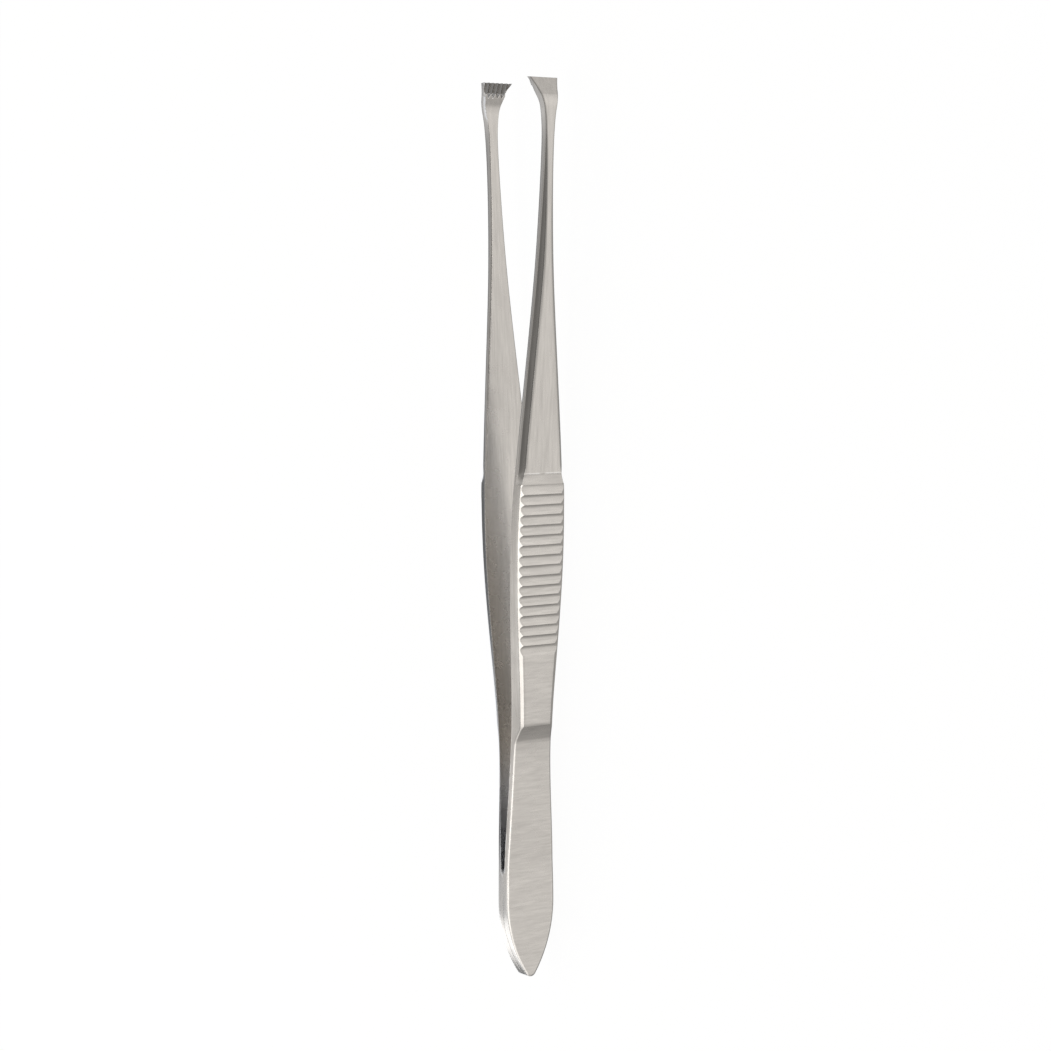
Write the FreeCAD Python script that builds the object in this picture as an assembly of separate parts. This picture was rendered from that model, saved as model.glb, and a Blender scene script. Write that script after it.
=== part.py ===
import FreeCAD, Part
import math
import os

V = FreeCAD.Vector

# Thumb forceps: two spring leaves of stainless steel, welded face to face at
# the tail, with flared jaws whose V teeth mesh when the leaves are pressed
# together. The instrument lies on its side. X runs from the tail to the jaws,
# Y is the opening direction and Z is the width of the leaves. Both leaves are
# drawn on the +Y side of the middle plane, and one is then mirrored across it.
# Lengths are millimetres and angles are degrees.

# Overall size
overall_length = 110.0

# Tail, where the two leaves meet face to face
tail_width = 7.0
tail_widest_at = 9.5
tail_nose_radius = 0.8
pad_length = 13.0
pad_thickness = 1.0
edge_chamfer = 0.20

# Spring part, between the pad and the step
relief = 0.32
splay_angle = 3.28
spring_thickness = 0.62
waist_width = 5.98
waist_at = 27.0

# Step up to the handle, a hollow ramp
step_foot_at = 29.7
step_length = 1.9
step_hollow = 0.10

# Handle: plain land, then the fluted grip
handle_thickness = 1.28
land_width = 6.60
land_at = 40.0
grip_width = 7.48
grip_widest_at = 53.0
grip_front_width = 6.80
grip_front_at = 62.0
draft_waist = 26.0
draft_land = 22.5
draft_grip = 15.5
draft_grip_front = 10.0
bevel_width = 0.52
bevel_depth = 0.15
bevel_tip = 0.40

# Grip: hollow flutes across the face, with a sharp crest between each two
first_crest_at = 41.61
flute_pitch = 1.229
crest_count = 16
crest_rise = 0.04
flute_depth = 0.13
flute_low_at = 0.65
half_flute_length = 1.15
front_crest_drop = 0.08
front_flute_depth = 0.035
front_flute_length = 1.30

# Neck, whose widths are given at shares of its length
neck_thickness = 1.19
neck_chamfer = 0.60
neck_chamfer_angle = 40.0
neck_chamfer_tip = 0.04
neck_chamfer_fade = 4.0
neck_width_rear = 4.66
neck_rear_share = 0.276
neck_width_middle = 2.60
neck_middle_share = 0.552
neck_width_front = 1.62
neck_front_share = 0.759
neck_narrowest = 1.26
neck_narrowest_share = 0.908
neck_taper_share = 0.60

# Jaws, flared and bent inwards
jaw_width = 4.12
jaw_root_width = 1.56
jaw_root_from_end = 4.5
jaw_flare_width = 2.66
jaw_flare_from_end = 1.9
jaw_flare_angle = 27.0
jaw_thickness = 0.66
jaw_root_thickness = 0.95
jaw_bend_from_end = 3.65
jaw_bend_angle = 26.0
jaw_bend_radius = 2.6
jaw_end_slope = 4.0

# Teeth: V grooves along the inner faces of the jaws
tooth_pitch = 0.65
tooth_depth = 0.33
tooth_length = 1.25
tooth_runout = 0.60
runout_tip = 0.01
rear_teeth = 7

# Room that cutters have beyond the faces they cut, and how far they overlap
clear = 1.0
over = 0.4

# Values that follow from the sizes above
splay = math.tan(math.radians(splay_angle))
relief_end = pad_length + relief
half_tail = tail_width / 2.0
nose_gap = 2.0 * tail_widest_at * tail_nose_radius
ogive_radius = (tail_widest_at ** 2 + half_tail ** 2 - nose_gap) / (2.0 * (half_tail - tail_nose_radius))
step_top_at = step_foot_at + step_length
crest_height = handle_thickness + crest_rise
flute_floor = crest_height - flute_depth
last_crest_at = first_crest_at + (crest_count - 1) * flute_pitch
front_crest_at = last_crest_at + flute_pitch
front_crest_height = crest_height - front_crest_drop
grip_end_at = front_crest_at + front_flute_length
neck_end_at = overall_length - jaw_root_from_end
jaw_bend_at = overall_length - jaw_bend_from_end
z_mid = max(grip_width, tail_width) / 2.0
plan_low = -clear
plan_high = overall_length * splay + handle_thickness + clear


def inner_line(u):
    """Distance of a leaf's inner face from the middle plane."""
    return relief + (u - relief_end) * splay


def at(u, m, w=0.0):
    """Point of a leaf: along it, out from its inner face, and across it."""
    return V(u, inner_line(u) + m, w)


def along_neck(share):
    """Place along the leaf at a share of the neck's length."""
    return grip_front_at + (neck_end_at - grip_front_at) * share


def line(a, b):
    return Part.LineSegment(a, b).toShape()


def arc(a, b, c):
    return Part.Arc(a, b, c).toShape()


# Plan outline of a leaf, drawn at two heights so that its walls have draft

def plan_stations():
    """Place along the leaf, width of the inner face, and draft angle."""
    return [
        (tail_widest_at, tail_width, 0.0),
        (waist_at, waist_width, draft_waist),
        (land_at, land_width, draft_land),
        (grip_widest_at, grip_width, draft_grip),
        (grip_front_at, grip_front_width, draft_grip_front),
        (along_neck(neck_rear_share), neck_width_rear, 0.0),
        (along_neck(neck_middle_share), neck_width_middle, 0.0),
        (along_neck(neck_front_share), neck_width_front, 0.0),
        (along_neck(neck_narrowest_share), neck_narrowest, 0.0),
        (neck_end_at, jaw_root_width, 0.0),
        (overall_length - jaw_flare_from_end, jaw_flare_width, 0.0),
        (overall_length, jaw_width, 0.0),
    ]


def side_curve(n, side):
    """One long edge of the plan outline, at a height above the middle plane."""
    points = []
    for u, width, draft in plan_stations():
        lean = math.tan(math.radians(draft)) * (n - inner_line(u))
        points.append(V(u, n, side * (width / 2.0 - lean)))
    flare = math.radians(jaw_flare_angle)
    curve = Part.BSplineCurve()
    curve.interpolate(
        Points=points,
        InitialTangent=V(1, 0, 0),
        FinalTangent=V(math.cos(flare), 0, side * math.sin(flare)),
    )
    return curve


def outline(n):
    """Closed plan outline at a height above the middle plane."""
    upper = side_curve(n, 1.0)
    lower = side_curve(n, -1.0)
    touch = math.atan2(ogive_radius - half_tail, tail_widest_at - tail_nose_radius)
    touch_u = tail_nose_radius * (1.0 - math.cos(touch))
    touch_w = tail_nose_radius * math.sin(touch)
    middle = (touch + math.pi / 2.0) / 2.0
    middle_u = tail_widest_at - ogive_radius * math.cos(middle)
    middle_w = half_tail - ogive_radius * (1.0 - math.sin(middle))
    edges = [
        upper.toShape(),
        line(upper.EndPoint, lower.EndPoint),
        lower.toShape(),
        arc(V(tail_widest_at, n, -half_tail), V(middle_u, n, -middle_w), V(touch_u, n, -touch_w)),
        arc(V(touch_u, n, -touch_w), V(0, n, 0), V(touch_u, n, touch_w)),
        arc(V(touch_u, n, touch_w), V(middle_u, n, middle_w), V(tail_widest_at, n, half_tail)),
    ]
    return Part.Wire(Part.__sortEdges__(edges))


def walls():
    """Body bounded by the drafted side walls."""
    return Part.makeLoft([outline(plan_low), outline(plan_high)], True, True)


def curve_height(curve, u):
    """Half width that a plan curve has at a place along the leaf."""
    low = curve.FirstParameter
    high = curve.LastParameter
    for _ in range(40):
        middle = (low + high) / 2.0
        if curve.value(middle).x < u:
            low = middle
        else:
            high = middle
    return abs(curve.value(low).z)


plan_curves = [side_curve(plan_low, 1.0), side_curve(plan_high, 1.0)]


def half_width(u, m):
    """Half width of the leaf at a height over its inner face."""
    share = (inner_line(u) + m - plan_low) / (plan_high - plan_low)
    low, high = [curve_height(curve, u) for curve in plan_curves]
    return low + (high - low) * share


# Side profile of a leaf

def on_bend(radius, angle):
    """Point of the jaw's bend, turned by an angle from where the bend begins."""
    lean = math.radians(splay_angle)
    centre = at(jaw_bend_at, 0.0) + V(math.sin(lean), -math.cos(lean), 0) * jaw_bend_radius
    turned = lean - math.radians(angle)
    return centre + V(-math.sin(turned), math.cos(turned), 0) * radius


def jaw_frame():
    """Root of the jaw's inner face, with its directions along and outwards."""
    down = math.radians(jaw_bend_angle - splay_angle)
    root = on_bend(jaw_bend_radius, jaw_bend_angle)
    along = V(math.cos(down), -math.sin(down), 0)
    outward = V(math.sin(down), math.cos(down), 0)
    return root, along, outward


def jaw_length():
    """Length of the jaw's inner face, from the bend to the teeth's ends."""
    root, along, _ = jaw_frame()
    return (overall_length - root.x) / along.x


def hollow(u_top, m_top, u_low, m_low):
    """Arc from an edge down to a flute's lowest line, level where it ends."""
    middle = at((u_top + u_low) / 2.0, m_low + (m_top - m_low) / 4.0)
    return arc(at(u_top, m_top), middle, at(u_low, m_low))


def flute(start, start_height, end, end_height, floor):
    """Two arcs of one flute, which is lowest beyond the middle of its pitch."""
    lowest = end - flute_pitch * (1.0 - flute_low_at)
    return [hollow(start, start_height, lowest, floor), hollow(end, end_height, lowest, floor)]


def grip_edges():
    """Side profile of the grip, from the land to the neck."""
    start = first_crest_at - half_flute_length
    edges = flute(start, handle_thickness, first_crest_at, crest_height, flute_floor)
    for i in range(crest_count - 1):
        crest = first_crest_at + i * flute_pitch
        edges += flute(crest, crest_height, crest + flute_pitch, crest_height, flute_floor)
    edges += flute(last_crest_at, crest_height, front_crest_at, front_crest_height, flute_floor)
    floor = front_crest_height - front_flute_depth
    edges += flute(front_crest_at, front_crest_height, grip_end_at, front_crest_height, floor)
    return edges


def side_profile():
    """Closed side profile of one leaf, from the tail to the bent jaw."""
    outer_radius = jaw_bend_radius + jaw_root_thickness
    half_bend = jaw_bend_angle / 2.0
    root, along, outward = jaw_frame()
    tip_in = root + along * jaw_length()
    setback = jaw_thickness * math.tan(math.radians(jaw_end_slope + jaw_bend_angle - splay_angle))
    tip_out = tip_in + outward * jaw_thickness - along * setback
    pad_meets = relief_end + (pad_thickness - spring_thickness - relief) / splay
    ramp_middle = (spring_thickness + handle_thickness) / 2.0 - step_hollow
    neck_start = at(grip_end_at + front_crest_height - neck_thickness, neck_thickness)
    taper_start = at(along_neck(neck_taper_share), neck_thickness)
    land_end = at(first_crest_at - half_flute_length, handle_thickness)
    edges = [
        line(V(0, 0, 0), V(pad_length, 0, 0)),
        line(V(pad_length, 0, 0), at(relief_end, 0.0)),
        line(at(relief_end, 0.0), on_bend(jaw_bend_radius, 0.0)),
        arc(on_bend(jaw_bend_radius, 0.0), on_bend(jaw_bend_radius, half_bend), root),
        line(root, tip_in),
        line(tip_in, tip_out),
        line(tip_out, on_bend(outer_radius, jaw_bend_angle)),
        arc(on_bend(outer_radius, jaw_bend_angle), on_bend(outer_radius, half_bend), on_bend(outer_radius, 0.0)),
        line(on_bend(outer_radius, 0.0), taper_start),
        line(taper_start, neck_start),
        line(neck_start, at(grip_end_at, front_crest_height)),
        line(land_end, at(step_top_at, handle_thickness)),
        arc(
            at(step_top_at, handle_thickness),
            at((step_foot_at + step_top_at) / 2.0, ramp_middle),
            at(step_foot_at, spring_thickness),
        ),
        line(at(step_foot_at, spring_thickness), V(pad_meets, pad_thickness, 0)),
        line(V(pad_meets, pad_thickness, 0), V(0, pad_thickness, 0)),
        line(V(0, pad_thickness, 0), V(0, 0, 0)),
    ]
    return Part.Wire(Part.__sortEdges__(edges + grip_edges()))


def across(wire):
    """Solid that a side profile makes over more than the leaf's width."""
    reach = z_mid + clear
    wire.translate(V(0, 0, -reach))
    return Part.Face(wire).extrude(V(0, 0, 2.0 * reach))


def chamfered_tail(leaf):
    """Chamfers the outer edge all round the tail and up the step."""
    edges = []
    for edge in leaf.Edges:
        box = edge.BoundBox
        on_tail = box.XMax < step_top_at + edge_chamfer / 2.0
        on_outside = box.YMin > pad_thickness - edge_chamfer / 2.0
        runs_along = box.XLength > edge_chamfer / 2.0
        if on_tail and on_outside and runs_along:
            edges.append(edge)
    return leaf.makeChamfer(edge_chamfer, edges)


# Bevels of the handle and chamfers of the neck

def edge_cutter(places, top, side):
    """Three-sided cutter that follows one outer edge of the leaf.

    Each place has the width that it takes off the outer face, whose height
    is given, and the depth that it takes off the side wall.
    """
    sections = []
    for u, cut, depth in places:
        edge = half_width(u, top - depth)
        high_m = top + depth * over
        low_m = top - depth * (1.0 + over)
        low = at(u, low_m, side * (edge + cut * over))
        high = at(u, high_m, side * (edge - cut * (1.0 + over)))
        far = at(u, high_m, side * (edge + clear))
        sections.append(Part.makePolygon([low, high, far, low]))
    return Part.makeLoft(sections, True, False)


def handle_bevel(side):
    """Shallow bevel from the step to the front crest, where it narrows."""
    steps = 5
    span = last_crest_at - flute_pitch - step_foot_at
    places = [(step_foot_at + span * i / steps, bevel_width, bevel_depth) for i in range(steps + 1)]
    places.append((front_crest_at, bevel_tip, bevel_depth))
    return edge_cutter(places, handle_thickness, side)


def neck_bevel(side):
    """Broad chamfer from the front crest along the neck, less as it narrows."""
    steps = 8
    span = jaw_bend_at - front_crest_at
    slope = math.tan(math.radians(neck_chamfer_angle))
    places = []
    for i in range(steps + 1):
        share = i / steps
        cut = neck_chamfer - (neck_chamfer - neck_chamfer_tip) * share ** neck_chamfer_fade
        places.append((front_crest_at + span * share, cut, cut * slope))
    return edge_cutter(places, neck_thickness, side)


# Teeth

def tooth_grooves(count):
    """V groove cutters along the jaw's inner face, centred on its width."""
    root, along, outward = jaw_frame()
    length = jaw_length()
    half_base = tooth_pitch / 2.0 * (1.0 + over)
    cutters = []
    for i in range(count):
        middle = V(0, 0, (i - (count - 1) / 2.0) * tooth_pitch)

        def corner(s, m, across_width):
            return root + along * s + outward * m + middle + V(0, 0, across_width)

        def triangle(s, depth):
            share = depth / tooth_depth
            low = corner(s, -depth * over, -half_base * share)
            high = corner(s, -depth * over, half_base * share)
            tip = corner(s, depth, 0.0)
            return Part.makePolygon([low, high, tip, low])

        start = length - tooth_length
        end = triangle(length + clear, tooth_depth)
        groove = Part.makeLoft([triangle(start, tooth_depth), end], True, True)
        shallow = triangle(start - tooth_runout, runout_tip)
        runout = Part.makeLoft([shallow, triangle(start, tooth_depth)], True, True)
        cutters.append(groove.fuse(runout))
    return cutters


# A whole leaf

def leaf(groove_count):
    """Rear leaf, with a jaw of the given number of grooves."""
    body = walls().common(across(side_profile()))
    body = chamfered_tail(body)
    for side in (-1.0, 1.0):
        body = body.cut(handle_bevel(side))
        body = body.cut(neck_bevel(side))
    body = body.cut(tooth_grooves(groove_count))
    body.translate(V(-overall_length / 2.0, 0, z_mid))
    return body.Solids[0]


def front_leaf():
    """Leaf at -Y. Its grooves lie opposite the rear leaf's teeth."""
    return leaf(rear_teeth).mirror(V(0, 0, 0), V(0, 1, 0))


def rear_leaf():
    """Leaf at +Y, with one groove fewer than it has teeth."""
    return leaf(rear_teeth - 1)


nodes = {
    "front_leaf": front_leaf(),
    "rear_leaf": rear_leaf(),
}

os.makedirs("parts", exist_ok=True)
for name, shape in nodes.items():
    shape.exportStep("parts/" + name + ".step")
    box = shape.BoundBox
    print(name, "valid", shape.isValid(), "solids", len(shape.Solids), "volume", round(shape.Volume, 2))
    print("  x", round(box.XMin, 3), round(box.XMax, 3), "y", round(box.YMin, 3), round(box.YMax, 3))
    print("  z", round(box.ZMin, 3), round(box.ZMax, 3))
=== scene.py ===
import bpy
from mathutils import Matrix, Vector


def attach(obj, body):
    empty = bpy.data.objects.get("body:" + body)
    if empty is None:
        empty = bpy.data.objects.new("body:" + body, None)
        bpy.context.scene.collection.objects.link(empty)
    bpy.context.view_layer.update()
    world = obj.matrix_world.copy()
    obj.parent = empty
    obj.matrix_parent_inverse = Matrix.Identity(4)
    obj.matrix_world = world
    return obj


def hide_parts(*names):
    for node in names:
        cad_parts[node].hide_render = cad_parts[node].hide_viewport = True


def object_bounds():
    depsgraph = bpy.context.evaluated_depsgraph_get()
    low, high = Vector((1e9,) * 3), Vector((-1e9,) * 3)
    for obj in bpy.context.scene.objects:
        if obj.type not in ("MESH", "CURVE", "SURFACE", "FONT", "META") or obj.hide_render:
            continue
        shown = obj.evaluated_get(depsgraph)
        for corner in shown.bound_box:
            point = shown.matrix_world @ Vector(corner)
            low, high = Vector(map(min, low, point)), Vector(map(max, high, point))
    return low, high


bl_info = {
    "name": "Thumb forceps",
    "version": (1, 0, 0),
    "blender": (4, 5, 0),
    "location": "3D View > Sidebar > Forceps",
    "description": "Builds the two leaves of a thumb forceps, their brushed steel and a small studio",
    "category": "Object",
}

import math

import bmesh
import bpy
import numpy as np
from mathutils import Matrix, Vector

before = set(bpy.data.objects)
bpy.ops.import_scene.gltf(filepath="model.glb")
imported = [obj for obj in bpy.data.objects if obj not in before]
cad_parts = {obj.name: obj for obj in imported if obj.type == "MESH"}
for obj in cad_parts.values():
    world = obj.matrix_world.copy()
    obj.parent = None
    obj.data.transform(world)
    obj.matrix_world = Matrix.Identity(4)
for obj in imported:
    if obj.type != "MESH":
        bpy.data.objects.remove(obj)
cad_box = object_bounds()

MM = 0.001
TAIL_X = cad_box[0][0]
MIDDLE_Z = (cad_box[0][2] + cad_box[1][2]) / 2.0
LEAVES = {"front_leaf": -1.0, "rear_leaf": 1.0}


# Sizes that a user would change, in metres

def length(name, text, default):
    return bpy.props.FloatProperty(
        name=name, description=text, default=default, min=0.0, precision=5, subtype="DISTANCE", unit="LENGTH"
    )


def degrees(name, text, default):
    return bpy.props.FloatProperty(
        name=name, description=text, default=math.radians(default), precision=3, subtype="ANGLE", unit="ROTATION"
    )


def number(name, text, default, low=0.0, high=10.0):
    return bpy.props.FloatProperty(name=name, description=text, default=default, min=low, max=high)


def colour(name, text, default):
    return bpy.props.FloatVectorProperty(
        name=name, description=text, default=default, min=0.0, max=1.0, size=3, subtype="COLOR"
    )


class LeafSizes(bpy.types.PropertyGroup):
    """Sizes of one leaf's blank, before its flutes and teeth are cut"""

    tail_width: length("Tail width", "Widest part of the welded tail", 0.0070)
    tail_nose: length("Nose radius", "Radius at the very end of the tail", 0.0008)
    pad: length("Pad thickness", "Thickness of a leaf where the two are welded", 0.0010)
    spring: length("Spring thickness", "Thickness of a leaf just in front of the pad", 0.00062)
    waist: length("Waist thickness", "Thickness of a leaf just behind the step", 0.00045)
    handle: length("Handle thickness", "Thickness of a leaf at the plain land", 0.00128)
    neck: length("Neck thickness", "Thickness of a leaf at the neck", 0.00119)
    jaw_root: length("Jaw root thickness", "Thickness of a leaf where its jaw bends", 0.00095)
    jaw: length("Jaw thickness", "Thickness of a leaf at the end of its jaw", 0.00066)
    splay: degrees("Splay", "Angle between a leaf and the middle plane", 3.28)
    bend: degrees("Jaw bend", "Angle that a jaw is bent inwards", 26.0)
    edge: length("Edge rounding", "How far the finished edges are rounded off", 0.00003)


class GripSizes(bpy.types.PropertyGroup):
    """Sizes of the hollow flutes that are cut across the grip"""

    first: length("First crest", "Distance from the tail's end to the rear crest", 0.04161)
    pitch: length("Pitch", "Distance between two crests", 0.001229)
    count: bpy.props.IntProperty(name="Crests", description="Full crests on each leaf", default=16, min=2, max=40)
    depth: length("Depth", "Depth of a flute under its crests", 0.00013)
    low: number("Lowest at", "Share of the pitch at which a flute is lowest", 0.65, 0.2, 0.8)


class JawSizes(bpy.types.PropertyGroup):
    """Sizes of the V teeth that are cut along the jaws"""

    pitch: length("Pitch", "Distance between two teeth", 0.00065)
    depth: length("Depth", "Depth of the grooves between the teeth", 0.00033)
    reach: length("Length", "Length of a groove at its full depth", 0.00125)
    runout: length("Run-out", "Length over which a groove runs out", 0.00060)
    teeth: bpy.props.IntProperty(name="Teeth", description="Teeth of the rear jaw", default=7, min=3, max=12)


class SteelLook(bpy.types.PropertyGroup):
    """Colour and finish of the brushed steel"""

    steel: colour("Steel", "Colour of the brushed steel", (0.62, 0.60, 0.575))
    # Colour of the rounded edges: partly polish wear, partly painted highlight
    worn_and_highlit: colour("Worn edge", "Colour of the edges that polishing has brightened", (0.80, 0.79, 0.77))
    roughness: number("Roughness", "Roughness of the satin finish", 0.27, 0.0, 1.0)
    spread: number("Streak contrast", "How far single strokes differ in brightness", 0.12, 0.0, 1.0)
    relief: length("Grain relief", "Height of the brushing marks", 0.0000005)


class StudioLook(bpy.types.PropertyGroup):
    """Camera and floor"""

    lens: bpy.props.FloatProperty(
        name="Lens", description="Focal length", default=88.9, min=10.0, subtype="DISTANCE_CAMERA")
    distance: length("Camera distance", "From the middle of the forceps to the camera", 0.318)
    turn: degrees("Camera turn", "Angle from the leaves' opening direction up to the camera", 35.0)
    tilt: degrees("Camera tilt", "How far the camera looks along the leaves", 4.55)
    roll: degrees("Camera roll", "How far the picture is turned", -0.5)
    floor: colour("Floor", "Colour of the pale floor", (0.90, 0.90, 0.90))


# Plan outline of a leaf: place, width at the inner face, and draft of the side walls in degrees. These and the other
# sizes below are millimetres, and places are measured from the tail's end.

PLAN = [
    (9.5, 7.00, 0.0), (27.0, 5.98, 26.0), (40.0, 6.60, 22.5), (53.0, 7.48, 15.5), (62.0, 6.80, 10.0),
    (74.006, 4.66, 0.0), (86.012, 2.60, 0.0), (95.0165, 1.62, 0.0), (101.498, 1.26, 0.0), (105.5, 1.56, 0.0),
    (108.1, 2.66, 0.0), (110.0, 4.12, 0.0),
]
PLAN_HEIGHTS = (-1.0, 8.584)        # heights over the middle plane at which the outline is worked out
FLARE = math.radians(27.0)          # direction of the outline at the end of the jaw
LENGTH = 110.0
TINY = 1e-9

# Side profile of a leaf

PAD_END = 13.0
RELIEF = 0.32                       # height of the inner face over the middle plane, just in front of the pad
THINNED = (15.0, 27.0)              # where the spring part gets thinner
STEP = (29.7, 31.6)
STEP_HOLLOW = 0.03
STEP_LIFT = (27.7, 0.09)            # where the spring part starts to rise to the step, and how far it rises
CREST_RISE = 0.04
FRONT_DROP = 0.08                   # how much lower the front crest is than the others
TAPER_AT = 88.1                     # where the neck starts to get thinner
BEND_AT = 106.35
BEND_RADIUS = 2.6
END_SLOPE = 4.0

# Bevels and chamfers of the outer face's edges

TAIL_CHAMFER = (0.21, 0.075)        # width and depth
BEVEL = (0.52, 0.15)                # width and depth
BEVEL_LEAST = 0.77                  # share of its depth that the bevel keeps at the front crest
BEVEL_BLEND = 0.35                  # length over which the chamfer turns into the bevel
LAND_BEVEL = (46.0, 0.82)           # where the bevel has its full width, and its share of that at the step
NECK_CHAMFER = (0.64, 0.17, 4.0)    # width, width at the jaws, and how late it narrows
NECK_SLOPE = math.tan(math.radians(40.0))
NECK_LEAST = 0.02                   # least depth of the neck's chamfer
CHAMFER_END = (1.6, 0.34, 0.40)     # flutes beside which it runs out, and how much lower and narrower it gets


def smooth_curve(points, start, end, steps=60):
    """Points of the smooth curve through given points, with its two end directions."""
    points = np.array(points)
    spans = np.linalg.norm(np.diff(points, axis=0), axis=1)
    count = len(points)
    matrix = np.zeros((count, count))
    target = np.zeros((count, 2))
    matrix[0, 0] = matrix[-1, -1] = 1.0
    target[0] = start
    target[-1] = end
    for i in range(1, count - 1):
        before, after = spans[i - 1], spans[i]
        matrix[i, i - 1:i + 2] = after, 2.0 * (before + after), before
        rear = (points[i] - points[i - 1]) * after / before
        front = (points[i + 1] - points[i]) * before / after
        target[i] = 3.0 * (rear + front)
    slopes = np.linalg.solve(matrix, target)
    line = []
    for i, span in enumerate(spans):
        for t in np.linspace(0.0, 1.0, steps, endpoint=False):
            a = (1.0 + 2.0 * t) * (1.0 - t) ** 2
            b = t * (1.0 - t) ** 2 * span
            c = t * t * (3.0 - 2.0 * t)
            d = t * t * (t - 1.0) * span
            line.append(a * points[i] + b * slopes[i] + c * points[i + 1] + d * slopes[i + 1])
    line.append(points[-1])
    return np.array(line)


class Leaf:
    """Shape of a leaf's blank, worked out from its sizes, in millimetres."""

    def __init__(self, sizes, grip):
        self.pad, self.spring, self.handle = sizes.pad / MM, sizes.spring / MM, sizes.handle / MM
        self.waist = sizes.waist / MM
        self.neck, self.jaw_root, self.jaw = sizes.neck / MM, sizes.jaw_root / MM, sizes.jaw / MM
        self.splay, self.bend = sizes.splay, sizes.bend
        self.slope = math.tan(self.splay)
        self.half_tail, self.nose = sizes.tail_width / MM / 2.0, sizes.tail_nose / MM
        self.edge = sizes.edge / MM
        self.first, self.pitch, self.count = grip.first / MM, grip.pitch / MM, grip.count
        widest = PLAN[0][0]
        self.ogive = widest ** 2 + self.half_tail ** 2 - 2.0 * widest * self.nose
        self.ogive /= 2.0 * (self.half_tail - self.nose)
        self.touch = math.atan2(self.ogive - self.half_tail, widest - self.nose)
        self.relief_end = PAD_END + RELIEF
        self.grip_start = self.first - self.pitch
        self.front_crest = self.first + self.count * self.pitch
        self.grip_end = self.front_crest + self.pitch
        self.curves = [self.plan_curve(height) for height in PLAN_HEIGHTS]
        root, along, outward = self.jaw_frame()
        self.jaw_length = (LENGTH - root[0]) / along[0]

    def inner(self, u):
        """Distance of the inner face from the middle plane."""
        if u <= PAD_END:
            return 0.0
        if u < self.relief_end:
            return u - PAD_END
        return RELIEF + (u - self.relief_end) * self.slope

    def plan_curve(self, height):
        """Plan outline in front of the tail, at a height over the middle plane."""
        points = []
        for u, width, draft in PLAN:
            over = height - RELIEF - (u - self.relief_end) * self.slope
            points.append((u, width / 2.0 - math.tan(math.radians(draft)) * over))
        return smooth_curve(points, (1.0, 0.0), (math.cos(FLARE), math.sin(FLARE)))

    def half_width(self, u, n):
        """Half width of the leaf at a place along it and a height over the middle plane."""
        widest = PLAN[0][0]
        if u < widest:
            touch_u = self.nose * (1.0 - math.cos(self.touch))
            if u < touch_u:
                return math.sqrt(max(0.0, 2.0 * self.nose * u - u * u))
            return self.half_tail - self.ogive + math.sqrt(self.ogive ** 2 - (widest - u) ** 2)
        low, high = [np.interp(u, curve[:, 0], curve[:, 1]) for curve in self.curves]
        share = (n - PLAN_HEIGHTS[0]) / (PLAN_HEIGHTS[1] - PLAN_HEIGHTS[0])
        return float(low + (high - low) * share)

    def on_bend(self, radius, angle):
        """Place on the jaw's bend, at a radius and at an angle from the bend's start."""
        centre = np.array((BEND_AT, self.inner(BEND_AT)))
        centre = centre + np.array((math.sin(self.splay), -math.cos(self.splay))) * BEND_RADIUS
        turned = self.splay - angle
        return centre + np.array((-math.sin(turned), math.cos(turned))) * radius

    def jaw_frame(self):
        """Root of the jaw's inner face, and the directions along the jaw and out of it."""
        down = self.bend - self.splay
        along = np.array((math.cos(down), -math.sin(down)))
        outward = np.array((math.sin(down), math.cos(down)))
        return self.on_bend(BEND_RADIUS, self.bend), along, outward

    def thickness(self, u):
        """Height of the outer face over the inner face. On the grip that is up to the crests' tops."""
        if u <= STEP[0]:
            share = min(1.0, max(0.0, (u - THINNED[0]) / (THINNED[1] - THINNED[0])))
            thin = (self.spring - self.waist) * share * share * (3.0 - 2.0 * share)
            lift = STEP_LIFT[1] * max(0.0, (u - STEP_LIFT[0]) / (STEP[0] - STEP_LIFT[0])) ** 2
            return max(self.spring - thin + lift, self.pad - self.inner(u))
        if u < STEP[1]:
            share = (u - STEP[0]) / (STEP[1] - STEP[0])
            low = self.waist + STEP_LIFT[1]
            chord = low + (self.handle - low) * share
            return chord - 4.0 * STEP_HOLLOW * share * (1.0 - share)
        crest = self.handle + CREST_RISE
        front = crest - FRONT_DROP
        places = [self.grip_start, self.first, self.front_crest - self.pitch, self.front_crest, self.grip_end,
                  self.grip_end + front - self.neck, TAPER_AT, BEND_AT]
        heights = [self.handle, crest, crest, front, front, self.neck, self.neck, self.jaw_root]
        return float(np.interp(u, places, heights))

    def cut(self, u, thick):
        """Height of the side wall, and the width that the bevel takes off the outer face."""
        chamfer = (thick - TAIL_CHAMFER[1], TAIL_CHAMFER[0])
        if u <= self.front_crest:
            fade_from = self.front_crest - 2.0 * self.pitch
            share = min(1.0, max(BEVEL_LEAST, (self.front_crest - u) / (self.front_crest - fade_from)))
            wall = min(self.handle, thick) - BEVEL[1] * share
            wide = BEVEL[0] * float(np.interp(u, (STEP[1], LAND_BEVEL[0]), (LAND_BEVEL[1], 1.0)))
            bevel = (wall, (thick - wall) * wide / BEVEL[1])
            blend = min(1.0, max(0.0, (u - STEP[1] + BEVEL_BLEND) / BEVEL_BLEND))
            return tuple(a + (b - a) * blend for a, b in zip(chamfer, bevel))
        wide, tip, fade = NECK_CHAMFER
        share = min(1.0, (u - self.front_crest) / (BEND_AT - self.front_crest))
        width = wide - (wide - tip) * share ** fade
        wall = min(self.neck - width * NECK_SLOPE, thick - NECK_LEAST)
        flutes, lower, narrower = CHAMFER_END
        near = max(0.0, 1.0 - (u - self.front_crest) / (flutes * self.pitch))
        return wall - lower * near, (thick - wall) / NECK_SLOPE - narrower * near

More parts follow.
